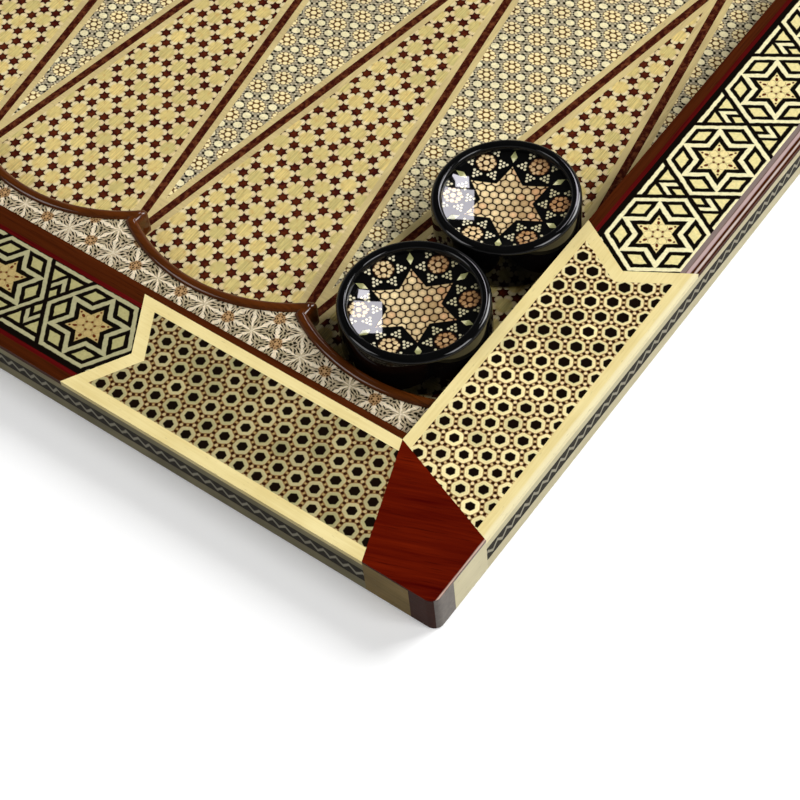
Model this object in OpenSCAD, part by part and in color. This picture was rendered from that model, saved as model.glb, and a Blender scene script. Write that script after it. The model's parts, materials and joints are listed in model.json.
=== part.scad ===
// Folding backgammon board with inlaid marquetry, lying open on its underside.
// X runs across the two halves, Y along the hinge line, Z up from the underside.
// The halves are alike and mirrored. The two checkers lie in the corner at +X, -Y.

/* [Halves] */
// Width of one half, from the hinge line to its outer side
half_w = 294; // [270:2:330]
// Length of a half along the hinge line
half_l = 588; // [500:2:660]
// Thickness of one half, from the underside to the top of its rim
board_t = 9.6; // [9:0.2:14]
// Width of the rim
rim_w = 24.8; // [23:0.2:28]
// Depth of the playing field below the rim
field_depth = 7.3; // [6:0.1:7.5]
// Thickness of the veneer that the playing field is made of
field_t = 0.9; // [0.6:0.1:1.2]
// Width of the step in the rails that holds the bottom panel
rebate_w = 6; // [3:0.5:9]
// Gap between the two halves at the hinge line
seam = 0.4; // [0.2:0.1:1]

/* [Playing field] */
// Points at each end of a half
points = 6; // [4:1:7]
// Distance from a half's outer side to the middle of its first point
first_point = 39.2; // [37:0.2:42]
// Distance from the end of the board to the tip of a point
tip_reach = 168; // [140:1:200]
// Distance from the end of the board to where the lines of two points cross
line_cross = 35.5; // [34:0.5:38]
// Width of the dark line along each side of a point
dark_line_w = 1.8; // [1:0.1:2.4]
// Width of each pale line beside a dark line
pale_line_w = 1.4; // [0.8:0.1:2]

/* [Scalloped ledges] */
// Height of the ledges' marquetry below the rim
ledge_drop = 2.3; // [1.5:0.1:3]
// Distance from the end of the board to the deepest place of a scallop
scallop_reach = 34.3; // [33:0.1:37]
// Radius of a scallop
scallop_r = 37.4; // [30:0.2:46]
// Distance from the end of the board to the noses between two scallops
nose_reach = 42.6; // [40:0.2:46]
// How far each scallop runs on past the middle of the nose beside it
nose_over = 2.9; // [1:0.1:4]
// Width of the moulding along the scallops
moulding_w = 2.4; // [1.6:0.1:2.8]
// Height of the moulding above the ledge's marquetry
moulding_rise = 0.7; // [0.2:0.1:1]
// Width of the wooden strip between the rim and the ledge's marquetry
ledge_strip_w = 1.5; // [0.8:0.1:2]

/* [Rim inlays] */
// Thickness of every inlay on top of the rim and on its sides
inlay_t = 1.2; // [0.8:0.1:1.5]
// Distance from a corner to where its block ends on the two sides
block_reach = 15.6; // [13:0.2:18]
// Distance from a corner to where its dotted panel ends, on the rim's edges
panel_reach = 86.5; // [70:0.5:110]
// Angle of the pointed end of a dotted panel
panel_angle = 30; // [15:1:40]
// Width of the bone strip on the rim's outer edge
outer_bone_w = 2.7; // [1.5:0.1:3.5]
// Width of the bone strip on the rim's inner edge
inner_bone_w = 2.4; // [1.5:0.1:3.5]
// Width of the bone strips across the rim
cross_bone_w = 2.7; // [1.5:0.1:3.5]
// Width of the wooden strips beside the star band
edge_strip_w = 2.2; // [1:0.1:2.4]
// Width of the red strips beside the star band
red_strip_w = 0.9; // [0.5:0.1:1.8]

/* [Sides] */
// Height of the lower bone strip on the sides
low_bone_h = 2.8; // [1.5:0.1:3.2]
// Height of the dark band on the sides
band_h = 3.8; // [2:0.1:4.2]
// Distance from a corner to the bone plate on its side
plate_start = 5.7; // [3:0.1:8]
// Thickness of the corner block above its bone plates
cap_t = 0.5; // [0.3:0.1:1]
// Radius of the board's rounded corners
corner_round = 2; // [0.5:0.1:2.8]

/* [Hinges] */
// Distance of each hinge from the middle of the board
hinge_y = 150; // [60:1:160]
// Length of a hinge
hinge_l = 36; // [24:1:60]
// Width of a hinge leaf, from the pin
leaf_w = 12; // [9:0.5:16]
// Thickness of a hinge leaf
leaf_t = 1.2; // [0.8:0.1:1.6]
// Radius of the hinge barrel
barrel_r = 1.9; // [1.7:0.1:2.4]
// Radius of the hinge pin
pin_r = 0.8; // [0.5:0.05:1]
// Height of the hinge pin above the rim
pin_rise = 0.25; // [0.2:0.05:0.5]
// Knuckles of a hinge, an odd number
knuckles = 5; // [3:2:7]

/* [Screws] */
// Radius of the hinge screws' heads
screw_head_r = 1.6; // [1.2:0.1:2]
// Radius of the hinge screws' shanks
screw_r = 0.75; // [0.5:0.05:0.9]
// Length of the hinge screws
screw_l = 6; // [4:0.5:7]
// Distance between two hinge screws
screw_pitch = 12; // [8:1:14]

/* [Clasp] */
// Radius of the hook's two ends
hook_r = 2.4; // [2:0.1:3]
// Thickness of the hook
hook_t = 1; // [0.8:0.1:1.6]
// Gap between the hook and the side of the board
hook_gap = 0.4; // [0.3:0.1:1]
// Radius of the hook's screw and of the catch's neck
neck_r = 1; // [0.8:0.1:1.2]
// Radius of the heads of the hook's screw and of the catch
knob_r = 2.2; // [1.8:0.1:2.8]
// Depth of the hook's screw and of the catch in the wood
neck_depth = 8; // [5:0.5:12]

/* [Checkers] */
// Radius of a checker
checker_r = 14.8; // [13:0.1:15]
// Height of a checker
checker_h = 11; // [8:0.1:11.5]
// Radius of a checker's marquetry
inlay_r = 12.5; // [11:0.1:12.6]
// Depth of the dish in a checker's marquetry
dish_depth = 1; // [0.5:0.1:1.5]
// Height of a checker's rim above the edge of its marquetry
dish_rim = 1.4; // [0.2:0.1:1.6]
// Radius of a checker's rounded edges
checker_edge_r = 1; // [0.5:0.1:1.2]
// Gap between the lower checker and the scallop that it lies in
checker_gap = 0.6; // [0.4:0.1:2]
// Gap between the two checkers
pair_gap = 1.2; // [0.4:0.1:3]
// Gap between the checkers and the rim
rim_gap = 0.4; // [0.3:0.1:2]

/* [Clearances] */
// Gap under a checker
rest_gap = 0.3; // [0.2:0.05:0.5]
// Gap between pieces that turn past each other
run_gap = 0.35; // [0.3:0.05:0.5]
// Radial clearance of a pin that turns
pin_fit = 0.05; // [0.03:0.01:0.1]
// Radial clearance of a fixed screw or inlay
fixed_fit = 0.02; // [0.01:0.01:0.05]

/* [Hidden] */
$fn = 64;
// Overshoot of a cutting solid past the face that it opens
over = 1;

// Tray of one half, in its own frame: its middle is at X = 0, Y = 0
tray_w = half_w - seam / 2;
tray_x = tray_w / 2;
tray_y = half_l / 2;
field_top = board_t - field_depth;
panel_t = field_top - field_t;
core_top = board_t - inlay_t;
point_pitch = (tray_w - 2 * first_point) / (points - 1);
line_angle = atan(point_pitch / 2 / (tip_reach - line_cross));

// Ledges
ledge_top = board_t - ledge_drop;
scallop_t = scallop_reach + scallop_r;
moulding_top = ledge_top + moulding_rise;
moulding_bevel = min(moulding_w / 2 - 0.2, 0.9);

// Rim
panel_tip = panel_reach - rim_w / 2 * tan(panel_angle);
cross_step = cross_bone_w / cos(panel_angle);
star_edge = edge_strip_w + red_strip_w;
plate_top = board_t - cap_t;

// Hinges
pin_z = board_t + pin_rise;
knuckle_l = hinge_l / knuckles;
relief_r = barrel_r + run_gap;

// Clasp
hook_z = board_t / 2;
hook_reach = 2 * (pin_z - hook_z);
hook_x = half_w + hook_gap;
knob_t = hook_t;
knob_x = hook_x + hook_t + hook_gap;

// Checkers
checker_z = field_top + rest_gap;
checker_x = half_w - rim_w - rim_gap - checker_r;
checker_1_y = -tray_y + scallop_reach + checker_gap + checker_r;
checker_2_y = checker_1_y + 2 * checker_r + pair_gap;
dish_r = (inlay_r * inlay_r + dish_depth * dish_depth) / (2 * dish_depth);
inlay_top = checker_h - dish_rim;
inlay_low = inlay_top - dish_depth - inlay_t;

wood_dark = [0.27, 0.1, 0.05];
wood_red = [0.4, 0.09, 0.05];
wood_panel = [0.45, 0.27, 0.14];
bone = [0.87, 0.78, 0.52];
brass = [0.8, 0.62, 0.28];

// Puts a half's pieces where they belong: side is 1 for the right half, -1 for the left
module half(side) {
    translate([side * (seam / 2 + tray_x), 0, 0])
        mirror([side < 0 ? 1 : 0, 0, 0])
            children();
}

// Frame of one rail: X runs along the rail from its corner, Y runs from its outer side inwards
// Rail 0 is the south end, 1 the outer side, 2 the north end, 3 the hinge side
module on_rail(k) {
    corner = [[-1, -1], [1, -1], [1, 1], [-1, 1]][k];
    translate([corner[0] * tray_x, corner[1] * tray_y, 0])
        rotate([0, 0, 90 * k])
            children();
}

function rail_length(k) = k % 2 == 0 ? tray_w : half_l;

// Draws the children at both ends of a rail, mirrored
module both_ends(length) {
    children();
    translate([length, 0, 0]) mirror([1, 0, 0]) children();
}

// Where the corner block ends, at a distance from the rail's outer side
function block_end(t) = block_reach + (rim_w - block_reach) * t / rim_w;

// Where the pointed end of a dotted panel lies, at a distance from the rail's outer side
function panel_end(t, step) = panel_tip - step + abs(t - rim_w / 2) * tan(panel_angle);

// A solid of constant height over an outline
module plate(outline, low, high) {
    translate([0, 0, low])
        linear_extrude(high - low)
            polygon(outline);
}

// A straight strip of a rail's top or side
module strip(from, to, t_low, t_high, z_low, z_high) {
    translate([from, t_low, z_low])
        cube([to - from, t_high - t_low, z_high - z_low]);
}

// Space that the hinges take from the hinge rail, in a half's own frame
module hinge_room() {
    for (y = [-hinge_y, hinge_y]) {
        translate([-tray_x - seam / 2, y, 0]) {
            translate([0, -hinge_l / 2 - fixed_fit, board_t - leaf_t])
                cube([leaf_w + fixed_fit, hinge_l + 2 * fixed_fit, leaf_t + over]);
            translate([0, -hinge_l / 2 - run_gap, pin_z])
                rotate([-90, 0, 0])
                    cylinder(r = relief_r, h = hinge_l + 2 * run_gap);
            for (step = [-1, 0, 1])
                translate([(leaf_w + barrel_r) / 2, step * screw_pitch, board_t - screw_l])
                    cylinder(r = screw_r + fixed_fit, h = screw_l + over);
        }
    }
}

// Hole in the outer rail for the hook's screw or the catch, in a half's own frame
module clasp_room() {
    translate([tray_x - neck_depth, 0, hook_z])
        rotate([0, 90, 0])
            cylinder(r = neck_r + fixed_fit, h = neck_depth + over);
}

// Bottom and playing field

module bottom_panel(side) {
    color(wood_panel)
        half(side)
            translate([-tray_x + rim_w - rebate_w, -tray_y + rim_w - rebate_w, 0])
                cube([tray_w - 2 * (rim_w - rebate_w), half_l - 2 * (rim_w - rebate_w), panel_t]);
}

// One side of a point's outline, from its foot at the rim. The point keeps to its own share of
// the field, room, so that it never crosses its neighbour.
function point_side(tip, room) =
    let (width = (tip - rim_w) * tan(line_angle))
    width > room
        ? [[room, rim_w], [room, tip - room / tan(line_angle)]]
        : [[width, rim_w]];

// Outline of a point that is drawn out by grow past the middle of its lines, in the frame of an
// end rail
function point_outline(i, grow) =
    let (
        middle = first_point + i * point_pitch,
        tip = tip_reach + grow / sin(line_angle),
        left = point_side(tip, i == 0 ? first_point - rim_w : point_pitch / 2),
        right = point_side(tip, i == points - 1 ? first_point - rim_w : point_pitch / 2)
    )
    concat(
        [for (p = right) [middle + p[0], p[1]]],
        [[middle, tip]],
        [for (j = [len(left) - 1 : -1 : 0]) [middle - left[j][0], left[j][1]]]
    );

// The band between two outlines of every point, at both ends of a half
module point_band(outer, inner) {
    for (k = [0, 2])
        on_rail(k)
            for (i = [0 : points - 1])
                difference() {
                    plate(point_outline(i, outer), panel_t, field_top);
                    translate([0, 0, -over])
                        plate(point_outline(i, inner), panel_t, field_top + 2 * over);
                }
}

line_half = dark_line_w / 2;
line_edge = line_half + pale_line_w;

module point_marquetry(side) {
    color([0.72, 0.48, 0.26])
        half(side)
            for (k = [0, 2])
                on_rail(k)
                    for (i = [0 : points - 1])
                        plate(point_outline(i, -line_edge), panel_t, field_top);
}

module point_dark_lines(side) {
    color(wood_dark)
        half(side)
            point_band(line_half, -line_half);
}

module point_pale_lines(side) {
    color(bone)
        half(side) {
            point_band(line_edge, line_half);
            point_band(-line_half, -line_edge);
        }
}

module ground_marquetry(side) {
    color([0.62, 0.57, 0.46])
        half(side)
            difference() {
                translate([-tray_x + rim_w, -tray_y + rim_w, panel_t])
                    cube([tray_w - 2 * rim_w, half_l - 2 * rim_w, field_t]);
                for (k = [0, 2])
                    on_rail(k)
                        for (i = [0 : points - 1])
                            translate([0, 0, -over])
                                plate(point_outline(i, line_edge), panel_t, field_top + 2 * over);
            }
}

// Rails and corner blocks

// Outline of a rail between two lines that run along it
function rail_outline(k, t_low, t_high) =
    let (length = rail_length(k))
    [
        [block_end(t_low), t_low], [length - block_end(t_low), t_low],
        [length - block_end(t_high), t_high], [block_end(t_high), t_high]
    ];

module rail(k, side) {
    color(wood_dark)
        half(side)
            difference() {
                on_rail(k)
                    difference() {
                        plate(rail_outline(k, inlay_t, rim_w), 0, core_top);
                        strip(0, rail_length(k), rim_w - rebate_w, rim_w + over, -over, panel_t);
                    }
                if (k == 3) hinge_room();
                if (k == 1) clasp_room();
            }
}

// Space outside the rounding of a corner
module corner_room() {
    difference() {
        translate([-over, -over, -over])
            cube([corner_round + over, corner_round + over, board_t + 2 * over]);
        translate([corner_round, corner_round, -2 * over])
            cylinder(r = corner_round, h = board_t + 4 * over);
    }
}

// Space for the pieces on a corner block's two sides, up to a height
module side_room(from, to, top) {
    strip(from, to, -over, inlay_t, -over, top);
    strip(-over, inlay_t, from, to, -over, top);
}

module corner_blocks(side) {
    color(wood_red)
        half(side)
            for (k = [0 : 3])
                on_rail(k)
                    difference() {
                        plate([[0, 0], [block_reach, 0], [rim_w, rim_w], [0, block_reach]],
                            0, board_t);
                        side_room(plate_start, block_reach, plate_top);
                        side_room(block_reach - over, rim_w, core_top);
                        corner_room();
                        translate([rim_w - rebate_w, rim_w - rebate_w, -over])
                            cube([rebate_w + over, rebate_w + over, panel_t + over]);
                    }
}

// Inlays on top of the rim

// Outline of a dotted panel, from the corner block to its pointed end
panel_outline = [
    [block_end(outer_bone_w), outer_bone_w],
    [panel_end(outer_bone_w, cross_step), outer_bone_w],
    [panel_end(rim_w / 2, cross_step), rim_w / 2],
    [panel_end(rim_w - inner_bone_w, cross_step), rim_w - inner_bone_w],
    [block_end(rim_w - inner_bone_w), rim_w - inner_bone_w]
];

module dotted_panels(side) {
    color([0.66, 0.58, 0.36])
        half(side)
            for (k = [0 : 3])
                on_rail(k)
                    both_ends(rail_length(k))
                        plate(panel_outline, core_top, board_t);
}

// The part of the rim's top that lies between its two pointed ends
module between_panels(k, t_low, t_high) {
    length = rail_length(k);
    middle = rim_w / 2;
    outline = t_low < middle && t_high > middle
        ? [
            [panel_end(t_low, 0), t_low], [length - panel_end(t_low, 0), t_low],
            [length - panel_tip, middle], [length - panel_end(t_high, 0), t_high],
            [panel_end(t_high, 0), t_high], [panel_tip, middle]
        ]
        : [
            [panel_end(t_low, 0), t_low], [length - panel_end(t_low, 0), t_low],
            [length - panel_end(t_high, 0), t_high], [panel_end(t_high, 0), t_high]
        ];
    plate(outline, core_top, board_t);
}

module rim_inlay(k, t_low, t_high) {
    difference() {
        on_rail(k) between_panels(k, t_low, t_high);
        if (k == 3) hinge_room();
    }
}

module star_bands(side) {
    color([0.7, 0.68, 0.48])
        half(side)
            for (k = [0 : 3])
                rim_inlay(k, star_edge, rim_w - star_edge);
}

module rim_red_strips(side) {
    color([0.5, 0.05, 0.07])
        half(side)
            for (k = [0 : 3]) {
                rim_inlay(k, edge_strip_w, star_edge);
                rim_inlay(k, rim_w - star_edge, rim_w - edge_strip_w);
            }
}

module rim_wood_strips(side) {
    color(wood_dark)
        half(side)
            for (k = [0 : 3]) {
                rim_inlay(k, 0, edge_strip_w);
                rim_inlay(k, rim_w - edge_strip_w, rim_w);
            }
}

// Bone strips round a dotted panel: one on each edge of the rim and two across it
module rim_bone_strips(side) {
    color(bone)
        half(side)
            for (k = [0 : 3])
                on_rail(k)
                    both_ends(rail_length(k))
                        difference() {
                            plate([
                                [block_end(0), 0], [panel_end(0, 0), 0],
                                [panel_tip, rim_w / 2], [panel_end(rim_w, 0), rim_w],
                                [block_end(rim_w), rim_w]
                            ], core_top, board_t);
                            translate([0, 0, -over])
                                plate(panel_outline, core_top, board_t + 2 * over);
                        }
}

// Inlays on the sides

// A strip along a rail's side, between its two bone plates
module side_strip(k, z_low, z_high) {
    reach = block_reach;
    difference() {
        on_rail(k) strip(reach, rail_length(k) - reach, 0, inlay_t, z_low, z_high);
        if (k == 3) hinge_room();
        if (k == 1) clasp_room();
    }
}

module side_bands(side) {
    color([0.16, 0.13, 0.11])
        half(side)
            for (k = [0 : 3])
                side_strip(k, low_bone_h, low_bone_h + band_h);
}

module side_bone_strips(side) {
    color(bone)
        half(side)
            for (k = [0 : 3]) {
                side_strip(k, 0, low_bone_h);
                side_strip(k, low_bone_h + band_h, core_top);
            }
}

module side_bone_plates(side) {
    color(bone)
        half(side)
            for (k = [0 : 3])
                on_rail(k)
                    both_ends(rail_length(k))
                        strip(plate_start, block_reach, 0, inlay_t, 0, plate_top);
}

// Scalloped ledges at the two ends of a half

// Space of every scallop between two heights, drawn out by low_back at the bottom and by
// high_back at the top. Each scallop runs on past the nose after it, up to the nose's wall,
// where the next scallop begins.
module scallop_rooms(low_back, high_back, z_low, z_high) {
    for (i = [0 : points - 1])
        translate([first_point + i * point_pitch, scallop_t, z_low])
            difference() {
                cylinder(r1 = scallop_r + low_back, r2 = scallop_r + high_back,
                    h = z_high - z_low);
                translate([
                    nose_over - low_back - point_pitch / 2 - 2 * scallop_r, -2 * scallop_r, -over
                ])
                    cube([2 * scallop_r, 4 * scallop_r, z_high - z_low + 2 * over]);
            }
}

// Everything from the rim to the scallops, drawn back from them by a distance
module ledge_slab(k, back, z_low, z_high, strip_w) {
    on_rail(k)
        difference() {
            strip(rim_w, rail_length(k) - rim_w, rim_w + strip_w, nose_reach - back,
                z_low, z_high);
            scallop_rooms(back, back, z_low - over, z_high + over);
        }
}

ledge_core_top = ledge_top - inlay_t;

// The core of a ledge, with a strip that stands level with the rim
module ledge(k, side) {
    color(wood_dark)
        half(side)
            union() {
                ledge_slab(k, moulding_w, field_top, ledge_core_top, 0);
                on_rail(k)
                    strip(rim_w, rail_length(k) - rim_w, rim_w, rim_w + ledge_strip_w,
                        ledge_core_top, board_t);
            }
}

module ledge_marquetry(side) {
    color([0.68, 0.64, 0.56])
        half(side)
            for (k = [0, 2])
                ledge_slab(k, moulding_w, ledge_core_top, ledge_top, ledge_strip_w);
}

// The moulding's bevel leans away from each scallop
module moulding(k, side) {
    color([0.36, 0.15, 0.07])
        half(side)
            difference() {
                ledge_slab(k, 0, field_top, moulding_top, 0);
                on_rail(k) {
                    difference() {
                        strip(0, rail_length(k), 0, nose_reach - moulding_w, 0, board_t + over);
                        scallop_rooms(moulding_w, moulding_w, -over, board_t + 2 * over);
                    }
                    scallop_rooms(0, 2 * moulding_bevel, moulding_top - moulding_bevel,
                        moulding_top + moulding_bevel);
                }
            }
}

// Hinges

// The knuckles of one leaf: the right leaf has the even ones, counted from zero
module hinge_knuckles(side, radius, grow) {
    for (i = [(side > 0 ? 0 : 1) : 2 : knuckles - 1])
        translate([0, -hinge_l / 2 + i * knuckle_l + run_gap / 2 - grow, 0])
            rotate([-90, 0, 0])
                cylinder(r = radius, h = knuckle_l - run_gap + 2 * grow);
}

module hinge_leaves(side) {
    fit = side > 0 ? fixed_fit : pin_fit;
    color(brass)
        for (y = [-hinge_y, hinge_y])
            difference() {
                union() {
                    translate([0, y, pin_z]) hinge_knuckles(side, barrel_r, 0);
                    difference() {
                        translate([side > 0 ? 0 : -leaf_w, y - hinge_l / 2, board_t - leaf_t])
                            cube([leaf_w, hinge_l, leaf_t]);
                        translate([0, y, pin_z]) hinge_knuckles(-side, relief_r, run_gap);
                    }
                }
                translate([0, y - hinge_l / 2 - over, pin_z])
                    rotate([-90, 0, 0])
                        cylinder(r = pin_r + fit, h = hinge_l + 2 * over);
                for (step = [-1, 0, 1])
                    translate([side * (leaf_w + barrel_r) / 2, y + step * screw_pitch, 0]) {
                        translate([0, 0, board_t - leaf_t - over])
                            cylinder(r = screw_r + fixed_fit, h = leaf_t + 2 * over);
                        translate([0, 0, board_t - screw_head_r + screw_r])
                            cylinder(r1 = screw_r + fixed_fit, r2 = screw_head_r + fixed_fit,
                                h = screw_head_r - screw_r + fixed_fit);
                    }
            }
}

module hinge_pins() {
    color(brass)
        for (y = [-hinge_y, hinge_y])
            translate([0, y - hinge_l / 2 + run_gap / 2, pin_z])
                rotate([-90, 0, 0])
                    cylinder(r = pin_r, h = hinge_l - run_gap);
}

// Countersunk screws with a slot across the head
module hinge_screws(side) {
    slot_w = screw_r / 2;
    color(brass)
        for (y = [-hinge_y, hinge_y])
            for (step = [-1, 0, 1])
                translate([side * (leaf_w + barrel_r) / 2, y + step * screw_pitch, board_t])
                    difference() {
                        union() {
                            translate([0, 0, -screw_l])
                                cylinder(r = screw_r, h = screw_l);
                            translate([0, 0, screw_r - screw_head_r])
                                cylinder(r1 = screw_r, r2 = screw_head_r,
                                    h = screw_head_r - screw_r);
                        }
                        translate([-screw_head_r - over, -slot_w / 2, -slot_w])
                            cube([2 * (screw_head_r + over), slot_w, slot_w + over]);
                    }
}

// Clasp

// The hook lies along the side. Turned up by 90 degrees, its mouth takes the catch's neck.
module clasp_hook() {
    color(brass)
        translate([hook_x, 0, hook_z])
            rotate([90, 0, 90])
                difference() {
                    union() {
                        cylinder(r = hook_r, h = hook_t);
                        translate([hook_reach, 0, 0]) cylinder(r = hook_r, h = hook_t);
                        translate([0, -hook_r, 0]) cube([hook_reach, hook_r + neck_r, hook_t]);
                    }
                    translate([0, 0, -over])
                        cylinder(r = neck_r + pin_fit, h = hook_t + 2 * over);
                    translate([hook_reach, 0, -over])
                        cylinder(r = neck_r + run_gap, h = hook_t + 2 * over);
                    translate([hook_reach - neck_r - run_gap, 0, -over])
                        cube([2 * (neck_r + run_gap), hook_r + over, hook_t + 2 * over]);
                }
}

// A neck that stands out of the board's side, with a round head
module knob(side) {
    color(brass)
        translate([side * (half_w - neck_depth), 0, hook_z])
            rotate([0, side * 90, 0])
                union() {
                    cylinder(r = neck_r, h = neck_depth + knob_x - half_w);
                    translate([0, 0, neck_depth + knob_x - half_w])
                        cylinder(r1 = knob_r, r2 = knob_r - knob_t / 2, h = knob_t);
                }
}

module clasp_screw() { knob(1); }
module clasp_catch() { knob(-1); }

// Checkers

module checker_place(i) {
    translate([checker_x, i == 1 ? checker_1_y : checker_2_y, checker_z])
        children();
}

module checker_body(i) {
    color([0.05, 0.05, 0.06])
        checker_place(i)
            difference() {
                rotate_extrude($fn = 96)
                    union() {
                        square([checker_r - checker_edge_r, checker_h]);
                        translate([0, checker_edge_r])
                            square([checker_r, checker_h - 2 * checker_edge_r]);
                        for (z = [checker_edge_r, checker_h - checker_edge_r])
                            translate([checker_r - checker_edge_r, z])
                                circle(r = checker_edge_r);
                    }
                translate([0, 0, inlay_low])
                    cylinder(r = inlay_r + fixed_fit, h = checker_h - inlay_low + over);
            }
}

module checker_inlay(i) {
    color([0.78, 0.6, 0.38])
        checker_place(i)
            difference() {
                translate([0, 0, inlay_low])
                    cylinder(r = inlay_r, h = inlay_top - inlay_low);
                translate([0, 0, inlay_top - dish_depth + dish_r])
                    sphere(r = dish_r, $fn = 128);
            }
}

bottom_panel(1);  // bottom_panel_right
ground_marquetry(1);  // ground_marquetry_right
point_marquetry(1);  // point_marquetry_right
point_pale_lines(1);  // point_pale_lines_right
point_dark_lines(1);  // point_dark_lines_right
rail(0, 1);  // south_rail_right
rail(1, 1);  // outer_rail_right
rail(2, 1);  // north_rail_right
rail(3, 1);  // hinge_rail_right
corner_blocks(1);  // corner_blocks_right
dotted_panels(1);  // dotted_panels_right
star_bands(1);  // star_bands_right
rim_bone_strips(1);  // rim_bone_strips_right
rim_red_strips(1);  // rim_red_strips_right
rim_wood_strips(1);  // rim_wood_strips_right
side_bands(1);  // side_bands_right
side_bone_strips(1);  // side_bone_strips_right
side_bone_plates(1);  // side_bone_plates_right
ledge(0, 1);  // south_ledge_right
ledge(2, 1);  // north_ledge_right
ledge_marquetry(1);  // ledge_marquetry_right
moulding(0, 1);  // south_moulding_right
moulding(2, 1);  // north_moulding_right
bottom_panel(-1);  // bottom_panel_left
ground_marquetry(-1);  // ground_marquetry_left
point_marquetry(-1);  // point_marquetry_left
point_pale_lines(-1);  // point_pale_lines_left
point_dark_lines(-1);  // point_dark_lines_left
rail(0, -1);  // south_rail_left
rail(1, -1);  // outer_rail_left
rail(2, -1);  // north_rail_left
rail(3, -1);  // hinge_rail_left
corner_blocks(-1);  // corner_blocks_left
dotted_panels(-1);  // dotted_panels_left
star_bands(-1);  // star_bands_left
rim_bone_strips(-1);  // rim_bone_strips_left
rim_red_strips(-1);  // rim_red_strips_left
rim_wood_strips(-1);  // rim_wood_strips_left
side_bands(-1);  // side_bands_left
side_bone_strips(-1);  // side_bone_strips_left
side_bone_plates(-1);  // side_bone_plates_left
ledge(0, -1);  // south_ledge_left
ledge(2, -1);  // north_ledge_left
ledge_marquetry(-1);  // ledge_marquetry_left
moulding(0, -1);  // south_moulding_left
moulding(2, -1);  // north_moulding_left
hinge_leaves(1);  // hinge_leaves_right
hinge_leaves(-1);  // hinge_leaves_left
hinge_pins();
hinge_screws(1);  // hinge_screws_right
hinge_screws(-1);  // hinge_screws_left
clasp_hook();
clasp_screw();
clasp_catch();
checker_body(1);  // checker_1_body
checker_inlay(1);  // checker_1_inlay
checker_body(2);  // checker_2_body
checker_inlay(2);  // checker_2_inlay
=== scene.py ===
"""Looks of a folding marquetry backgammon board that lies open, with two checkers in one corner."""

import json
import math

import bmesh
import bpy
from mathutils import Matrix, Vector

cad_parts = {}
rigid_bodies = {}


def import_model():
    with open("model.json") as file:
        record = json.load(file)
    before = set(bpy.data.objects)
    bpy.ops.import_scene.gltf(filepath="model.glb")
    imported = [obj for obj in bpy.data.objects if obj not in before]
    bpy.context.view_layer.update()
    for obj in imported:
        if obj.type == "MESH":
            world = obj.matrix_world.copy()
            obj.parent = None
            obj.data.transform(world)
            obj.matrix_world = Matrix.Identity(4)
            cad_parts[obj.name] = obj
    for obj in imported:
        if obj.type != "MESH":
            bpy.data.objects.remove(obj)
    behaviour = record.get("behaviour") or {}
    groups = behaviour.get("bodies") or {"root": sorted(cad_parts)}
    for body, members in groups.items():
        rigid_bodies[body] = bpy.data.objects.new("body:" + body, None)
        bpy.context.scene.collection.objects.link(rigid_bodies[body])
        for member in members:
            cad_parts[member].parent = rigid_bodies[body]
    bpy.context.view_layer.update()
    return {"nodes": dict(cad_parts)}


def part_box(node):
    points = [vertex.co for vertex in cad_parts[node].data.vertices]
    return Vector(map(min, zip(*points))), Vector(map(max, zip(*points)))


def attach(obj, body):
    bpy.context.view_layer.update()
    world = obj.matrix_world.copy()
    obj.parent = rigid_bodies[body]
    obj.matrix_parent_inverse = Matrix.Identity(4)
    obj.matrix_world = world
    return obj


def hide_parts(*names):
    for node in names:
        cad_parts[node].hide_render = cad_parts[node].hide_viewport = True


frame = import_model()

MM = 0.001
THIRD = math.pi / 3
SLOPE = math.sin(THIRD)


def millimetres(node):
    """The lowest and highest corner of a CAD node, in mm."""
    low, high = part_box(node)
    return low / MM, high / MM


# Sizes in mm. Those that the frame holds come from it, and the rest are the CAD model's own.
blocks_low, blocks_high = millimetres("corner_blocks_right")
ground_low, ground_high = millimetres("ground_marquetry_right")
moulding_high = millimetres("south_moulding_right")[1]
HALF_SEAM = blocks_low.x
HALF_W = blocks_high.x
HALF_L = blocks_high.y
RIM_W = ground_low.x - HALF_SEAM
RIM_MIDDLE = RIM_W / 2
FIELD_TOP = ground_high.z
BOARD_T = blocks_high.z
MOULDING_TOP = moulding_high.z
NOSE_REACH = moulding_high.y + HALF_L
POINTS = 6
FIRST_POINT = 39.2
POINT_PITCH = (HALF_W - HALF_SEAM - 2 * FIRST_POINT) / (POINTS - 1)
SCALLOP_REACH = 34.3
SCALLOP_R = 37.4
NOSE_OVER = 2.9
MOULDING_W = 2.4
LEDGE_TOP = 7.3
PANEL_TIP = 79.34
BAND_MIDDLE = 4.7
CHECKERS_MIDDLE = Vector((254, -230, 11)) * MM

# The finish of most pieces: a thin coat of lacquer, and hardly any shine under it.
THIN_COAT = 0.05
LACQUER_IOR = 1.45
FAINT_SHINE = 0.02


def feed(tree, slot, value):
    """Links a Number to a slot, or writes a plain value on it."""
    if isinstance(value, Number):
        tree.links.new(value.socket, slot)
    else:
        slot.default_value = value


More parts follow.
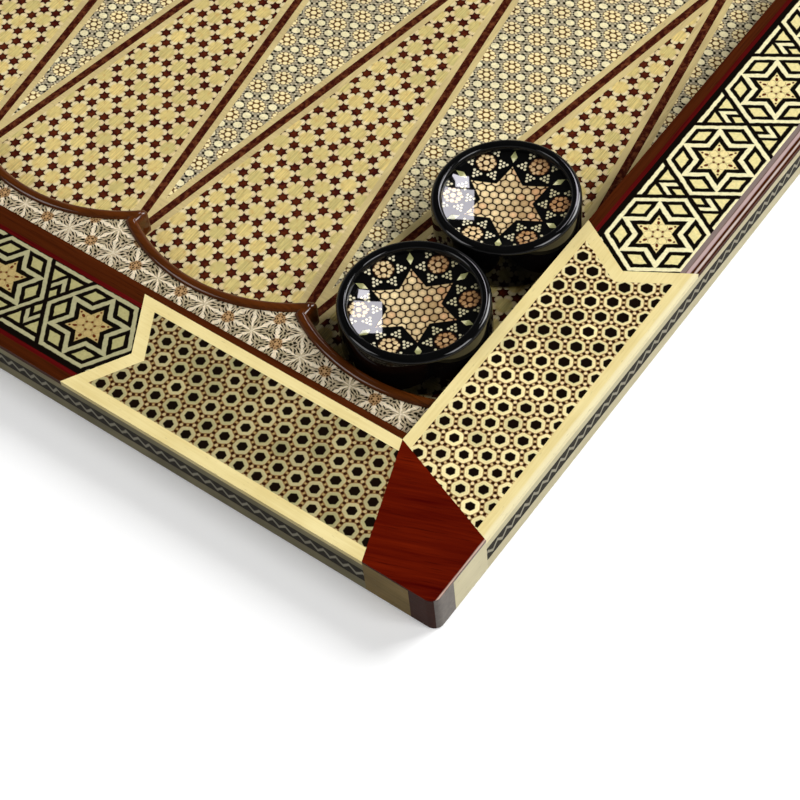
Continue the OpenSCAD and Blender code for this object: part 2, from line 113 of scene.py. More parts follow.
class Number:
    """A number that varies over a surface. Arithmetic on it adds Math nodes to its material."""

    def __init__(self, tree, socket):
        self.tree = tree
        self.socket = socket

    def math(self, operation, *others, clamp=False):
        node = self.tree.nodes.new("ShaderNodeMath")
        node.operation = operation
        node.use_clamp = clamp
        for slot, value in zip(node.inputs, (self, *others)):
            feed(self.tree, slot, value)
        return Number(self.tree, node.outputs[0])

    def __add__(self, other):
        return self.math("ADD", other)

    def __sub__(self, other):
        return self.math("SUBTRACT", other)

    def __rsub__(self, other):
        return self.math("MULTIPLY_ADD", -1.0, other)

    def __mul__(self, other):
        return self.math("MULTIPLY", other)

    def __truediv__(self, other):
        return self.math("DIVIDE", other)

    def __abs__(self):
        return self.math("ABSOLUTE")

    __radd__ = __add__
    __rmul__ = __mul__


def coordinates(tree, kind):
    """Where a point lies along x, y and z, in texture coordinates of that kind."""
    place = tree.nodes.new("ShaderNodeTexCoord")
    split = tree.nodes.new("ShaderNodeSeparateXYZ")
    tree.links.new(place.outputs[kind], split.inputs[0])
    return [Number(tree, out) for out in split.outputs]


def least(first, *others):
    for other in others:
        first = first.math("MINIMUM", other)
    return first


def most(first, *others):
    for other in others:
        first = first.math("MAXIMUM", other)
    return first


def wrap(value, half):
    """value, folded into the range from -half to half."""
    return value.math("WRAP", half, -half)


def length(u, v):
    return (u * u + v * v).math("SQRT")


def ramp(value, gain, offset):
    """value times gain plus offset, kept between 0 and 1."""
    return value.math("MULTIPLY_ADD", gain, offset, clamp=True)


def rising(value, gain):
    """value times gain, kept between 0 and 1."""
    return value.math("MULTIPLY", gain, clamp=True)


def inside(distance, soft=0.09):
    """1 where a distance in mm is below zero and 0 where it is above, with a soft edge."""
    return ramp(distance, -1 / soft, 0.5)


def choose(mask, one, other):
    """one where mask is 1 and other where it is 0."""
    if isinstance(one, Number) or isinstance(other, Number):
        return mask * (one - other) + other
    return mask.math("MULTIPLY_ADD", one - other, other)


def turned(u, v, angle):
    """u and v, measured in a frame that is turned by angle."""
    return (
        u * math.cos(angle) + v * math.sin(angle),
        v * math.cos(angle) - u * math.sin(angle),
    )


def folded(u, v, start=0.0):
    """A point folded onto one of six sectors: how far it lies along the middle line of its
    sector, and how far off that line. start is the angle of one of the middle lines."""
    radius = length(u, v)
    angle = wrap(v.math("ARCTAN2", u) - start, THIRD / 2)
    return radius * angle.math("COSINE"), abs(radius * angle.math("SINE"))


def star_distance(along, off, tip):
    """Distance to the edge of a six-pointed star, from its tips' middle lines."""
    return along * 0.5 + off * SLOPE - tip / 2


class Cells:
    """A sheet of six-sided cells: rows run along u, with pitch between cells and row between
    rows. u and v are a point's place in its cell, and column and line count the cells."""

    def __init__(self, u, v, pitch, row):
        first = wrap(u, pitch / 2), wrap(v, row)
        second = wrap(u + pitch / 2, pitch / 2), wrap(v + row, row)
        nearer = length(*first).math("LESS_THAN", length(*second))
        self.u = choose(nearer, first[0], second[0])
        self.v = choose(nearer, first[1], second[1])
        self.column = ((u - self.u) / (pitch / 2)).math("ROUND")
        self.line = ((v - self.v) / row).math("ROUND")
        self.radius = length(self.u, self.v)


class Surface:
    """A material that is drawn over the board's own coordinates, in mm."""

    def __init__(self, name):
        self.material = bpy.data.materials.new(name)
        self.material.use_nodes = True
        self.tree = self.material.node_tree
        self.shader = self.tree.nodes["Principled BSDF"]
        self.x, self.y, self.z = (
            value * (1 / MM) for value in coordinates(self.tree, "Object")
        )

    def vector(self, u, v, w):
        node = self.tree.nodes.new("ShaderNodeCombineXYZ")
        for slot, value in zip(node.inputs, (u, v, w)):
            feed(self.tree, slot, value)
        return node.outputs[0]

    def noise(self, u, v, w=0.0, detail=2.0, rough=0.5):
        """Smooth noise from 0 to 1, with features about 1 unit wide."""
        node = self.tree.nodes.new("ShaderNodeTexNoise")
        node.inputs["Scale"].default_value = 1.0
        node.inputs["Detail"].default_value = detail
        node.inputs["Roughness"].default_value = rough
        self.tree.links.new(self.vector(u, v, w), node.inputs["Vector"])
        return Number(self.tree, node.outputs[0])

    def speckle(self, width, run=None, layer=0.0, detail=2.0, rough=0.5):
        """Noise on the board's top. width and run are how wide its features are across the two
        halves and how long along the hinge line, in mm. Each layer has its own noise."""
        return self.noise(self.x / width, self.y / (run or width), layer, detail, rough)

    def chance(self, u, v, seed=0.0):
        """A random number from 0 to 1 for each cell that u and v count."""
        node = self.tree.nodes.new("ShaderNodeTexWhiteNoise")
        node.noise_dimensions = "3D"
        self.tree.links.new(self.vector(u, v, seed), node.inputs["Vector"])
        return Number(self.tree, node.outputs["Value"])

    def hand_cut(self, u, v, amount, size=2.6):
        """u and v, shifted a little here and there, as hand-cut pieces lie."""
        shift_u = self.speckle(size, layer=0.0, detail=1.0) - 0.5
        shift_v = self.speckle(size, layer=7.0, detail=1.0) - 0.5
        return u + shift_u * (2 * amount), v + shift_v * (2 * amount)

    def rim(self):
        """Where a point of the rim lies: along its arm from the nearest corner, across it from
        the outer edge, and 1 on the long arms."""
        beside = abs(self.x)
        off_side = least(beside - HALF_SEAM, HALF_W - beside)
        off_end = HALF_L - abs(self.y)
        return (
            most(off_side, off_end),
            least(off_side, off_end),
            off_side.math("LESS_THAN", off_end),
        )

    def mix(self, base, top, mask, how="MIX"):
        """base with top painted over it where mask is 1."""
        node = self.tree.nodes.new("ShaderNodeMix")
        node.data_type = "RGBA"
        node.blend_type = how
        for slot, value in ((node.inputs[6], base), (node.inputs[7], top)):
            if isinstance(value, tuple):
                slot.default_value = (*value, 1.0)
            else:
                self.tree.links.new(value, slot)
        feed(self.tree, node.inputs[0], mask)
        return node.outputs[2]

    def shade(self, colour, amount):
        """colour, made darker or lighter: an amount of 1 leaves it as it is."""
        grey = self.tree.nodes.new("ShaderNodeCombineXYZ")
        for slot in grey.inputs:
            self.tree.links.new(amount.socket, slot)
        return self.mix(colour, grey.outputs[0], 1.0, "MULTIPLY")

    def finish(self, colour, roughness, height, lift, coat=THIN_COAT, coat_roughness=0.05):
        """Lacquered finish. height is from 0 to 1, and lift is what 1 stands for, in mm."""
        sockets = self.shader.inputs
        self.tree.links.new(colour, sockets["Base Color"])
        feed(self.tree, sockets["Roughness"], roughness)
        bump = self.tree.nodes.new("ShaderNodeBump")
        bump.inputs["Strength"].default_value = 1.0
        bump.inputs["Distance"].default_value = lift * MM
        self.tree.links.new(height.socket, bump.inputs["Height"])
        self.tree.links.new(bump.outputs[0], sockets["Normal"])
        sockets["Specular IOR Level"].default_value = FAINT_SHINE
        sockets["Coat Weight"].default_value = coat
        sockets["Coat Roughness"].default_value = coat_roughness
        sockets["Coat IOR"].default_value = LACQUER_IOR
        return self.material


# Woods and bone

def wood(name, dark, light, grain_turn, fine=0.5, run=30.0, edge=(), side_shades=None, coat=THIN_COAT):
    """Straight-grained wood. grain_turn turns the grain from +Y towards -X, or is None where it
    follows the rim. fine and run are the width and length of its streaks in mm. edge holds the
    painted highlights and reflections along the long arms' top edges, with ragged sides: the
    colour, middle and half width of each. The colours for the outer faces, where given, are
    painted light: shade on the end arms and a greyish reflection on the long arms."""
    wave_run, wave_width = 25, 6
    pore_run, pore_width = 5, 0.22
    pore_share = 0.35
    wobble_size, wobble_depth = 6, 0.3
    top_skin, side_skin, side_depth = 0.1, 0.05, 2.1
    s = Surface(name)
    rim_along, rim_across, on_long = s.rim()
    if grain_turn is None:
        along, off = rim_along, rim_across
    else:
        along, off = turned(s.y, s.x, -grain_turn)
    wave = s.noise(along / wave_run, off / wave_width, s.z / wave_width, 1.0)
    streak = s.noise(along / run, off / fine + wave * 3, s.z / fine, 3.0, 0.6)
    broad = s.noise(along / (run * 2), off / (fine * 9), s.z / (fine * 9))
    pore = s.noise(along / pore_run, off / pore_width, s.z / pore_width, 1.0)
    colour = s.mix(dark, light, ramp(streak * 0.6 + broad * 0.6, 2.4, -0.95))
    pores = ramp(pore, 6.0, -3.7)
    colour = s.mix(colour, tuple(c * pore_share for c in dark), pores * 0.6)
    # Painted highlights and reflections: pale lines along the long arms' top edges, with a ragged width.
    if edge:
        sheen_wobble = s.noise(s.x / wobble_size, s.y / wobble_size, s.z / wobble_size) * wobble_depth
        sheen_wobble = sheen_wobble - wobble_depth / 2
        on_top = on_long * s.z.math("GREATER_THAN", BOARD_T - top_skin)
        for sheen_colour, edge_middle, edge_half in edge:
            edge_sheen = inside(abs(rim_across - edge_middle) - edge_half - sheen_wobble, 0.25)
            colour = s.mix(colour, sheen_colour, edge_sheen * on_top)
    # Painted light on the outer faces: dark shade on the end arms, a greyish reflection on the long
    # arms.
    if side_shades:
        shaded_side_colour = s.shade(s.mix(*side_shades, on_long), streak * 0.8 + 0.6)
        below_top = s.z.math("LESS_THAN", BOARD_T - side_skin)
        on_side = inside(rim_across - side_depth, 0.05) * below_top
        colour = s.mix(colour, shaded_side_colour, on_side)
    return s.finish(colour, streak * 0.15 + 0.33, streak - pores * 0.5, 0.03, coat)


def bone(name, pale, deep, edge_sheen=0.5, end_shade_colour=None):
    """Polished bone: long faint streaks, small darker flecks and, on the long arms, a paler outer
    edge that is a painted sheen. Where given, the last argument is a darker colour painted on
    the end arms as shade."""
    bone_sheen_colour = (0.92, 0.86, 0.62)
    streak_run, streak_width = 14, 0.45
    fleck_run, fleck_width = 1.6, 0.3
    cloud_size = 9
    fleck_share = 0.55
    s = Surface(name)
    along, across, on_long = s.rim()
    streak = s.noise(along / streak_run, across / streak_width, s.z / streak_width, 3.0, 0.6)
    cloud = s.noise(s.x / cloud_size, s.y / cloud_size, s.z / cloud_size)
    fleck = s.noise(along / fleck_run, across / fleck_width, s.z / fleck_width, 1.0)
    tone = ramp(streak * 0.6 + cloud * 0.7, 2.4, -1.0)
    colour = s.mix(pale, deep, tone)
    # A painted sheen: a paler band along the long arms' outer edge.
    edge = inside(across - 0.5 - cloud * 0.6, 0.5) * on_long
    colour = s.mix(colour, bone_sheen_colour, edge * edge_sheen)
    # Painted shade: the end arms' faces take a darker colour.
    if end_shade_colour:
        colour = s.mix(s.shade(end_shade_colour, tone * -0.5 + 1.2), colour, on_long)
    flecks = ramp(fleck, 8.0, -5.4)
    colour = s.mix(colour, tuple(c * fleck_share for c in deep), flecks * 0.5)
    return s.finish(colour, cloud * 0.12 + 0.3, streak - flecks, 0.02)


# Marquetry. CUT and FINE_CUT are how soft the edges of its pieces are, in mm.

CUT = 0.14
FINE_CUT = 0.12


def dotted_khatam():
    """Black six-sided rods in pale rings, with small brown triangles round a pale rod."""
    pitch, row = 4.17, 3.61
    long_phase = 69.87, 20.78
    short_phase = 73.39, 21.86
    ring_reach, ring_round = 1.64, 0.13
    bead_r, small_bead_r = 0.31, 0.20
    spot_off, spot_r = 0.58, 0.36
    rod_round = 0.11
    rod_short, rod_long, rod_long_most = 0.93, 0.78, 1.12
    rod_growth = 0.0045
    green_within = 2.05
    # Each pair below holds the end arms' colour, then the long arms'; the long arms' paler colours, and
    # long_brown, are a painted sheen.
    brown, light_brown, long_brown = (0.17, 0.095, 0.032), (0.27, 0.15, 0.055), (0.44, 0.28, 0.11)
    dark, black = (0.028, 0.007, 0.002), (0.006, 0.003, 0.0015)
    bead_colours = (0.47, 0.36, 0.17), (0.84, 0.67, 0.36)
    small_bead_colours = (0.36, 0.255, 0.095), (0.66, 0.50, 0.24)
    ring_colours = (0.46, 0.395, 0.20), (0.90, 0.77, 0.40)
    greenish_colours = (0.34, 0.31, 0.145), (0.72, 0.63, 0.31)

    s = Surface("dotted_khatam")
    along, across, on_long = s.rim()
    u = along - choose(on_long, long_phase[0], short_phase[0])
    v = across - choose(on_long, long_phase[1], short_phase[1])
    cells = Cells(*s.hand_cut(u, v, 0.13), pitch, row)
    reach, off = folded(cells.u, cells.v)
    corner, corner_off = folded(cells.u, cells.v, THIRD / 2)
    luck = s.chance(cells.column, cells.line)
    luck_2 = s.chance(cells.column, cells.line, 5.0)
    grain = s.speckle(0.3)

    colour = s.mix(s.mix(brown, light_brown, luck), long_brown, on_long * 0.7)
    spot = length(reach - pitch / 2, off - spot_off) - spot_r
    colour = s.mix(colour, dark, inside(spot, CUT))
    bead = length(corner - pitch / 2 / SLOPE, corner_off) - bead_r
    colour = s.mix(colour, s.mix(*bead_colours, on_long), inside(bead, CUT))
    small_bead = length(reach - pitch / 2, off) - small_bead_r
    colour = s.mix(colour, s.mix(*small_bead_colours, on_long), inside(small_bead, CUT))

    ring = most(reach, corner - ring_round) - ring_reach
    green = luck_2 * rising(green_within - reach, 1.3)
    ring_colour = s.mix(s.mix(*ring_colours, on_long), s.mix(*greenish_colours, on_long), green)
    ring_colour = s.shade(ring_colour, grain * 0.4 + luck * 0.2 + 0.68)
    colour = s.mix(colour, ring_colour, inside(ring, CUT))
    long_reach = least(along * rod_growth + rod_long, rod_long_most)
    rod_reach = choose(on_long, long_reach, rod_short) + luck_2 * 0.05
    rod = most(reach, cells.radius - rod_round) - rod_reach
    colour = s.mix(colour, black, inside(rod, CUT))
    height = inside(ring) - inside(abs(ring), 0.2) * 0.5 + grain * 0.2
    return s.finish(colour, 0.4, height, 0.03)


def star_khatam():
    """Ivory flowers of six petals, with a dark red six-pointed star between each three."""
    pitch = 5.38
    # Three sheets by turns: each one's shift across and along its point, and its turn in degrees.
    sheets = (
        (-1.78, 114.89, 7.0),
        (-11.82, 50.62, 9.5),
        (-5.34, 57.46, 10.5),
    )
    petal_at, petal_r = 1.78, 0.91
    heart_r = 1.62
    heart_end, vein_start = 1.5, 1.1
    vein_depth, vein_half = 0.24, 0.04
    crease_start, crease_half = 0.5, 0.05
    star_tip = 1.56
    star_edge, star_heart = 0.05, 0.26
    hearts = (0.67, 0.515, 0.19), (0.53, 0.445, 0.17)
    tips = (0.73, 0.615, 0.35), (0.70, 0.54, 0.28)
    stain_colour, vein_colour, crease_colour = (0.52, 0.28, 0.08), (0.24, 0.16, 0.05), (0.30, 0.20, 0.06)
    reds, red_edge = ((0.100, 0.018, 0.005), (0.045, 0.006, 0.004)), (0.018, 0.003, 0.002)

    s = Surface("star_khatam")
    beside = (HALF_W - FIRST_POINT) - abs(s.x)
    local = wrap(beside, POINT_PITCH / 2)
    sheet = ((beside - local) / (POINT_PITCH * len(sheets))).math("FRACT")
    first = sheet.math("COMPARE", 0.0, 0.1)
    second = sheet.math("COMPARE", 1 / len(sheets), 0.1)

    def of_sheet(values):
        return choose(first, values[0], choose(second, values[1], values[2]))

    across_shifts, along_shifts, degrees = zip(*sheets)
    turns = [math.radians(degree) for degree in degrees]
    u = (HALF_L - abs(s.y)) - of_sheet(along_shifts)
    v = local * -1.0 - of_sheet(across_shifts)
    cosine = of_sheet([math.cos(turn) for turn in turns])
    sine = of_sheet([math.sin(turn) for turn in turns])
    u, v = u * cosine - v * sine, v * cosine + u * sine
    cells = Cells(*s.hand_cut(u, v, 0.12), pitch, pitch * SLOPE)
    reach, off = folded(cells.u, cells.v)
    luck = s.chance(cells.column, cells.line)
    brush = s.speckle(0.22, 7.0, rough=0.6)

    petal = length(reach - petal_at, off) - petal_r
    heart = s.shade(s.mix(*hearts, luck), brush * 1.4 + 0.30)
    stain = ramp(s.speckle(1.3, layer=3.0), 5.0, -2.8)
    heart = s.mix(heart, stain_colour, stain * 0.55)
    tip = s.shade(s.mix(*tips, luck), brush * 0.8 + 0.58)
    ivory = s.mix(heart, tip, rising(cells.radius - heart_end, 2.0))
    vein = inside(abs(petal + vein_depth) - vein_half, CUT) * rising(cells.radius - vein_start, 2.0)
    ivory = s.mix(ivory, vein_colour, vein * 0.45)
    crease_along, crease_off = folded(cells.u, cells.v, THIRD / 2)
    crease = inside(crease_off - crease_half, CUT) * rising(crease_along - crease_start, 1.0)
    ivory = s.mix(ivory, crease_colour, crease * 0.6)

    hole_u = reach - pitch / 2
    hole_v = off - pitch / 2 * math.tan(THIRD / 2)
    star = star_distance(*folded(hole_u, hole_v, math.pi / 2), star_tip)
    star_luck = s.chance(cells.column * 2.0 + cells.u.math("GREATER_THAN", 0.0), cells.line, 3.0)
    red = s.mix(red_edge, s.mix(*reds, star_luck), inside(star + star_heart, 0.35))
    flower = least(petal, cells.radius - heart_r)
    colour = s.mix(red, ivory, inside(flower, CUT) * (1.0 - inside(star + star_edge)))
    height = inside(flower) * 0.6 + brush * 0.4 - vein * 0.5
    return s.finish(colour, brush * 0.15 + 0.3, height, 0.04)


def flower_khatam():
    """Grey ground with pale rods, small black ones and flowers of seven pale rods."""
    pitch = 5.8
    stretch = 1.13, 0.95
    phase = 186.59, 85.07
    rod_r, disc_r = 0.86, 1.92
    grounds = (0.37, 0.32, 0.21), (0.23, 0.19, 0.12)
    black, bead_colour = (0.010, 0.007, 0.004), (0.56, 0.49, 0.33)
    rod_colours = (0.88, 0.79, 0.48), (0.70, 0.62, 0.37)
    browns = (0.13, 0.055, 0.012), (0.075, 0.030, 0.008)
    petal_colours = (0.90, 0.76, 0.40), (0.78, 0.66, 0.36)

    s = Surface("flower_khatam")
    off_end = HALF_L - abs(s.y)
    u, v = s.hand_cut(abs(s.x) - phase[0], off_end - phase[1], 0.14)
    cells = Cells(u / stretch[0], v / stretch[1], pitch, pitch * SLOPE)
    reach, off = folded(cells.u, cells.v)
    side, side_off = folded(cells.u, cells.v, THIRD / 2)
    luck = s.chance(cells.column, cells.line)
    grain = s.speckle(0.35)

    colour = s.shade(s.mix(*grounds, grain), grain * 0.6 + 0.72)
    dark_rods = least(
        length(reach - pitch / 2, off - 0.60) - 0.38,
        length(side - 2.35, side_off - 0.30) - 0.20,
    )
    colour = s.mix(colour, black, inside(dark_rods, CUT))
    beads = least(
        length(reach - pitch / 2, off) - 0.22,
        length(side - 2.08, side_off) - 0.17,
        length(reach - 2.12, off - 0.5) - 0.17,
    )
    colour = s.mix(colour, bead_colour, inside(beads, FINE_CUT))
    rod = length(side - pitch / 2 / SLOPE, side_off)
    ivory = s.shade(s.mix(*rod_colours, luck), grain * 0.6 + 0.68)
    colour = s.mix(colour, ivory, inside(rod - rod_r, CUT))
    petals = least(
        cells.radius - 0.60,
        most(length(reach - 1.36, off) - 0.47, 0.86 - reach),
        length(side - 1.66, side_off) - 0.25,
    )
    petal_colour = s.shade(s.mix(*petal_colours, luck), grain * 0.5 + 0.74)
    flower = s.mix(s.mix(*browns, luck), petal_colour, inside(petals, CUT))
    colour = s.mix(colour, flower, inside(cells.radius - disc_r, CUT))
    height = inside(petals) * 0.5 + inside(rod - rod_r - 0.02) * 0.6 + grain * 0.3
    return s.finish(colour, 0.38, height, 0.03)


def ledge_khatam():
    """Pale rays that widen away from their nodes, with black slivers between them, and brown
    flowers in every second place."""
    pitch = 5.88
    phase = 223.29, 30.45
    ray_spread, ray_least, ray_start = 0.125, 0.04, 0.5
    bloom_r = 1.34
    grounds = (0.40, 0.33, 0.20), (0.53, 0.43, 0.29)
    rays = (0.80, 0.68, 0.49), (0.62, 0.55, 0.40)
    browns = (0.30, 0.15, 0.055), (0.58, 0.38, 0.18)
    black, spot_colour = (0.010, 0.007, 0.003), (0.045, 0.015, 0.004)

    s = Surface("ledge_khatam")
    off_end = HALF_L - abs(s.y)
    u, v = s.hand_cut(abs(s.x) - phase[0], off_end - phase[1], 0.42, 1.5)
    cells = Cells(u, v, pitch, pitch * SLOPE)
    reach, off = folded(cells.u, cells.v)
    corner, corner_off = folded(cells.u, cells.v, THIRD / 2)
    luck = s.chance(cells.column, cells.line)
    flowered = abs(wrap((cells.column + cells.line) / 2.0, 1.0)).math("LESS_THAN", 0.5)
    grain = s.speckle(0.5, 0.2)
    ragged = s.speckle(0.7, layer=2.0) * 0.5 - 0.25

    colour = s.shade(s.mix(*grounds, luck), grain * 1.2 + 0.4)
    towards_flower = (pitch - ray_start - reach) * ray_spread
    ray_half = choose(flowered, towards_flower, reach * ray_spread) + ray_least
    ray = off - ray_half + ragged * 0.8
    pale = s.shade(s.mix(*rays, luck), grain * 1.1 + 0.46)
    colour = s.mix(colour, pale, inside(ray, CUT))
    slivers = least(
        abs(corner_off - 0.30) * 4.2 + abs(corner - 1.75) - 0.82,
        abs(corner_off - 0.80) * 5.0 + abs(corner - 2.45) - 0.72,
    )
    tips = corner_off * 1.3 + abs(corner - 2.95) - 0.44
    colour = s.mix(colour, black, inside(least(slivers, tips) + ragged * 1.6, 0.3))
    spots = least(
        length(corner - 0.62, corner_off) - 0.22,
        length(corner - 1.20, corner_off) - 0.27,
        length(reach - 0.98, off) - 0.13,
    )
    flower = s.mix(s.mix(*browns, grain), spot_colour, inside(spots + ragged * 0.3, 0.2))
    bloom = inside(cells.radius - bloom_r + ragged * 1.2, 0.3) * flowered
    colour = s.mix(colour, flower, bloom)
    return s.finish(colour, 0.36, grain * 0.4 + inside(ray) * 0.4, 0.03)


def girih():
    """Interlaced straps: a row of six-sided frames, each round a star, and small triangles,
    chevrons and lozenges between them."""
    frames_apart = 22.55
    stretch = 1.076
    short_across, long_across = 1.01, 0.982
    short_middle, long_middle = 0.55, -0.75
    ring, ring_line, ring_inside = 8.65, 0.45, 7.86
    star_tip, star_line, core_in = 8.14, 0.91, 1.84
    leaf_out, leaf_in = 7.02, 0.84
    band_w, band_gap = 0.85, 1.62
    small_reach, lozenge_reach = 4.0, 1.8
    chevron_out, chevron_in = 3.35, 2.5
    rod_at, rod_r = 1.85, 0.84
    line, brown, seam_colour = (0.004, 0.0025, 0.0015), (0.10, 0.020, 0.006), (0.16, 0.09, 0.03)
    # Each pair holds the end arms' colour, then the long arms'; the long arms' paler colours are a
    # painted sheen.
    strap_colours = (0.37, 0.345, 0.19), (0.84, 0.77, 0.46)
    leaf_colours = (0.38, 0.345, 0.15), (0.78, 0.68, 0.31)
    gold_colours = (0.43, 0.32, 0.125), (0.82, 0.69, 0.32)

    s = Surface("girih")
    along, across, on_long = s.rim()
    run = choose(on_long, 2 * HALF_L, HALF_W - HALF_SEAM) - 2 * PANEL_TIP
    step = run / (run / frames_apart).math("ROUND")
    u = (((along - PANEL_TIP) / step).math("FRACT") - 0.5) * step / stretch
    v = across - RIM_MIDDLE - choose(on_long, long_middle, short_middle)
    v = v * choose(on_long, long_across, short_across)
    u, v = s.hand_cut(u, v, 0.16, 1.4)
    half_step = step / (2 * stretch)
    reach, off = folded(u, v, THIRD / 2)
    core_u, core_off = folded(u, v)
    radius = length(u, v)

    ivory = s.speckle(0.6)
    tone = ivory * 0.5 + 0.75
    strap_colour = s.shade(s.mix(*strap_colours, on_long), tone)
    leaf_colour = s.shade(s.mix(*leaf_colours, on_long), tone)
    gold = s.shade(s.mix(*gold_colours, on_long), tone)

    out = half_step - abs(u)
    near = abs(v) * 0.5 - out * SLOPE
    far = abs(v) * 0.5 + out * SLOPE
    base = ring - abs(v)
    clear = inside(ring_line - near, CUT)
    strip = most(base - band_w, -0.02 - base)
    small = most(small_reach - far, band_gap - base)
    chevron = most(far - chevron_out, chevron_in - far, band_gap - base)
    lozenge = far - lozenge_reach
    colour = s.mix(line, leaf_colour, inside(least(small, lozenge) + 0.06, FINE_CUT) * clear)
    colour = s.mix(colour, strap_colour, inside(least(strip, chevron) + 0.04, FINE_CUT) * clear)

    hexagon = inside(reach - ring, CUT)
    colour = s.mix(colour, line, inside(reach - ring - ring_line, CUT))
    colour = s.mix(colour, strap_colour, hexagon)
    colour = s.mix(colour, line, inside(reach - ring_inside, FINE_CUT))
    star = star_distance(reach, off, star_tip)
    leaf = most(reach - leaf_out, leaf_in - star)
    colour = s.mix(colour, leaf_colour, inside(leaf, FINE_CUT))
    colour = s.mix(colour, strap_colour, inside(star, FINE_CUT))
    colour = s.mix(colour, line, inside(star + star_line, FINE_CUT))
    colour = s.mix(colour, gold, inside(star + core_in, CUT))
    dark = least(
        length(reach - 1.07, off) - 0.25,
        length(reach - 2.65, off * 1.6) - 0.48,
        length(reach - 3.65, off) - 0.24,
    )
    colour = s.mix(colour, brown, inside(dark, 0.16))
    rods = least(radius - rod_r, length(core_u - rod_at, core_off) - rod_r)
    seam = inside(abs(rods) - 0.06, CUT) * inside(radius - 2.6, 0.2)
    colour = s.mix(colour, seam_colour, seam * 0.6)
    grooves = inside(abs(star) - 0.08) + inside(abs(reach - ring) - 0.08)
    return s.finish(colour, 0.38, ivory * 0.3 + hexagon * 0.4 - grooves * 0.4, 0.03)


def checker_khatam():
    """A star of golden six-sided rods, six flowers with small triangles round them, and an
    ivory leaf beyond each of the star's tips, all in black."""
    pitch = 1.78
    rod_reach, rod_r = 0.74, 0.79
    star_tip = 8.8
    flower_at, flower_r = 10.55, 2.08
    bead_r = 0.27
    leaf_at, leaf_half, leaf_slim = 11.15, 1.35, 2.0
    golds, reddish = ((0.32, 0.21, 0.095), (0.82, 0.65, 0.36)), (0.52, 0.27, 0.13)
    black, seam_colour = (0.0015, 0.0015, 0.0015), (0.020, 0.007, 0.002)
    petal_colours, flower_seam = ((0.33, 0.18, 0.075), (0.76, 0.60, 0.33)), (0.028, 0.009, 0.003)
    bead_colours = (0.42, 0.38, 0.22), (0.72, 0.66, 0.46)
    leaf_colours = (0.28, 0.28, 0.12), (0.62, 0.60, 0.34)

    s = Surface("checker_khatam")
    u, v = s.x, s.y
    rods = Cells(*s.hand_cut(u, v, 0.06, 1.5), pitch, pitch * SLOPE)
    reach, _ = folded(rods.u, rods.v)
    tips, tips_off = folded(u, v, THIRD / 2)
    notch, notch_off = folded(u, v)
    luck = s.chance(rods.column, rods.line)
    luck_2 = s.chance(rods.column, rods.line, 4.0)
    grain = s.speckle(0.3)
    # Paler towards the checker's own -x side: a painted sheen of the window's reflection, with a random
    # tone per rod.
    sheen_and_tone = (u * -0.06 + 0.5).math("ADD", luck * 0.5 - 0.25, clamp=True)

    gold = s.mix(*golds, sheen_and_tone)
    gold = s.mix(gold, reddish, luck_2.math("GREATER_THAN", 0.72) * 0.5)
    gold = s.shade(gold, (0.75 - rods.radius) * 0.55 + grain * 0.7 + 0.50)
    rod = inside(most(reach - rod_reach, rods.radius - rod_r), 0.18)
    star = star_distance(tips, tips_off, star_tip)
    colour = s.mix(black, s.mix(seam_colour, gold, rod), inside(star, 0.2))

    out = notch - flower_at
    radius = length(out, notch_off)
    petals_at, petals_off = folded(out, notch_off, THIRD / 2)
    wings_at, wings_off = folded(out, notch_off)
    petals = least(
        radius - 0.56,
        length(petals_at - 1.36, petals_off) - 0.46,
        length(wings_at - 1.72, wings_off) - 0.33,
    )
    petal_colour = s.mix(*petal_colours, sheen_and_tone * rising(grain, 2.0))
    flower_colour = s.mix(flower_seam, petal_colour, inside(petals, CUT))
    colour = s.mix(colour, flower_colour, inside(radius - flower_r, FINE_CUT))
    bead = least(
        length(wings_at - 2.78, wings_off),
        length(wings_at - 2.78, wings_off - 0.78),
        length(wings_at - 3.46, wings_off - 0.39),
        length(wings_at - 4.14, wings_off),
    )
    colour = s.mix(colour, s.mix(*bead_colours, sheen_and_tone), inside(bead - bead_r, CUT))
    leaf = abs(tips - leaf_at) + tips_off * leaf_slim - leaf_half
    leaf_colour = s.mix(*leaf_colours, inside(tips - leaf_at - 0.15 + grain, 0.4))
    colour = s.mix(colour, leaf_colour, inside(leaf, FINE_CUT))
    height = inside(most(reach - rod_reach, rods.radius - rod_r)) * inside(star) * 0.5 + grain * 0.2
    s.finish(colour, 0.35, height, 0.012, 1.0, 0.02)
    s.shader.inputs["Specular IOR Level"].default_value = 0.0
    return s.material


def zigzag():
    """A grey zigzag on a dark ground, along the sides."""
    period, rise, half_w = 2.9, 1.5, 0.42
    unevenness = 0.8
    grounds = (0.009, 0.007, 0.003), (0.020, 0.015, 0.008)
    greys = (0.36, 0.33, 0.24), (0.26, 0.24, 0.18)
    s = Surface("zigzag_band")
    along, across, _ = s.rim()
    along = along + (s.noise(along / 3, s.z / 3, 0.0, 1.0) - 0.5) * unevenness
    wave = (abs(wrap(along, period / 2)) / (period / 2) - 0.5) * rise
    grain = s.noise(along / 1.5, across / 0.3, s.z / 0.3)
    grey = s.shade(s.mix(*greys, grain), grain * 0.6 + 0.7)
    middle = abs(s.z - BAND_MIDDLE - wave) - half_w
    colour = s.mix(s.mix(*grounds, grain), grey, inside(middle, 0.3))
    return s.finish(colour, 0.45, grain, 0.03)


def dark_line():
    """Dark red-brown wood with small purple mottles, for the lines beside the points."""
    dark, light = (0.040, 0.006, 0.003), (0.155, 0.045, 0.016)
    s = Surface("dark_line")
    mottle = s.speckle(1.1, 1.4, detail=3.0, rough=0.6)
    fibre = s.speckle(0.25, 4)
    colour = s.shade(s.mix(dark, light, ramp(mottle, 4.0, -1.8)), fibre * 0.7 + 0.6)
    return s.finish(colour, 0.38, fibre, 0.02)


